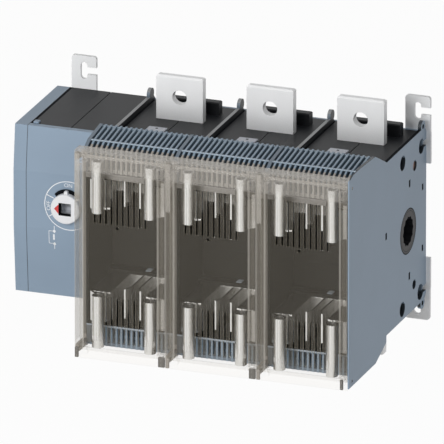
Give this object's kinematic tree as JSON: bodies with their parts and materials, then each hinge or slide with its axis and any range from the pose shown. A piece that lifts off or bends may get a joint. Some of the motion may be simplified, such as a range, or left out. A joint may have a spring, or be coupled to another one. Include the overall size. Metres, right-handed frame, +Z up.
{
  "type": "fuse switch disconnector",
  "caption": "Fuse switch disconnector: a blue-grey moulded pole block with clear hinged fuse covers, vent louvres and tin-plated terminals, and a rotary drive module at one side.",
  "frame": {"origin": "midway between the two lower mounting holes, on the plane of the mounting surface", "axes": "+X to the right seen from the front, +Y to the back into the mounting surface, +Z up"},
  "size_m": [0.3607, 0.211, 0.2446],
  "materials": {
    "housing_plastic": "fine-grained blue-grey moulding",
    "black_plastic": "satin black moulding",
    "chamber_plastic": "matt dark grey moulding",
    "clear_cover": "clear, slightly smoky polycarbonate",
    "contact_silver": "silver-plated copper",
    "terminal_tin": "tin-plated copper",
    "steel": "zinc-plated steel",
    "rail_steel": "light grey sheet steel",
    "hub_plastic": "glass-filled grey moulding",
    "dial_white": "white moulding"
  },
  "bodies": {
    "root": {"back_panel": "housing_plastic", "bottom_louvre_1": "housing_plastic", "bottom_louvre_2": "housing_plastic", "bottom_louvre_3": "housing_plastic", "bottom_plate_1": "black_plastic", "bottom_plate_2": "black_plastic", "bottom_plate_3": "black_plastic", "cover_hinge_rod": "clear_cover", "cover_latch_rod": "clear_cover", "drive_back": "housing_plastic", "drive_bottom_plate": "black_plastic", "drive_frame": "steel", "drive_front": "housing_plastic", "drive_side_cover": "housing_plastic", "drive_top_plate": "black_plastic", "fuse_chamber_1": "chamber_plastic", "fuse_chamber_2": "chamber_plastic", "fuse_chamber_3": "chamber_plastic", "fuse_contact_lower_1": "contact_silver", "fuse_contact_lower_2": "contact_silver", "fuse_contact_lower_3": "contact_silver", "fuse_contact_upper_1": "contact_silver", "fuse_contact_upper_2": "contact_silver", "fuse_contact_upper_3": "contact_silver", "mounting_rail_bottom": "rail_steel", "mounting_rail_top": "rail_steel", "partition_1": "housing_plastic", "partition_2": "housing_plastic", "side_wall_left": "housing_plastic", "side_wall_right": "housing_plastic", "terminal_lower_1": "terminal_tin", "terminal_lower_2": "terminal_tin", "terminal_lower_3": "terminal_tin", "terminal_upper_1": "terminal_tin", "terminal_upper_2": "terminal_tin", "terminal_upper_3": "terminal_tin", "top_louvre_1": "housing_plastic", "top_louvre_2": "housing_plastic", "top_louvre_3": "housing_plastic", "top_plate_1": "black_plastic", "top_plate_2": "black_plastic", "top_plate_3": "black_plastic"},
    "cover_1": {"fuse_cover_1": "clear_cover"},
    "cover_2": {"fuse_cover_2": "clear_cover"},
    "cover_3": {"fuse_cover_3": "clear_cover"},
    "switch": {"main_gear": "steel", "moving_contact_1": "contact_silver", "moving_contact_2": "contact_silver", "moving_contact_3": "contact_silver", "rotor_1": "chamber_plastic", "rotor_2": "chamber_plastic", "rotor_3": "chamber_plastic", "switch_shaft": "hub_plastic"},
    "cross": {"cross_shaft": "steel"},
    "dial_body": {"dial": "dial_white", "dial_shaft": "steel"}
  },
  "joints": [
    {"name": "cover_1_hinge", "type": "hinge", "parent": "root", "child": "cover_1", "pos_m": [0.1244, -0.2024, 0.0009], "axis": [1, 0, 0], "range_deg": [0, 90]},
    {"name": "cover_2_hinge", "type": "hinge", "parent": "root", "child": "cover_2", "pos_m": [0.0372, -0.2024, 0.0009], "axis": [1, 0, 0], "range_deg": [0, 90]},
    {"name": "cover_3_hinge", "type": "hinge", "parent": "root", "child": "cover_3", "pos_m": [-0.05, -0.2024, 0.0009], "axis": [1, 0, 0], "range_deg": [0, 90]},
    {"name": "switch_turn", "type": "hinge", "parent": "root", "child": "switch", "pos_m": [0.1696, -0.052, 0.0937], "axis": [1, 0, 0], "range_deg": [0, 90]},
    {"name": "dial_turn", "type": "hinge", "parent": "root", "child": "dial_body", "pos_m": [-0.135, -0.125, 0.1015], "axis": [0, 1, 0], "range_deg": [0, 90]},
    {"name": "cross_turn", "type": "hinge", "parent": "root", "child": "cross", "pos_m": [-0.1604, -0.085, 0.1015], "axis": [1, 0, 0], "range_deg": [-90, 0]}
  ],
  "couplings": [
    {"joint": "dial_turn", "follows": "switch_turn", "ratio": 1},
    {"joint": "cross_turn", "follows": "switch_turn", "ratio": -1}
  ]
}
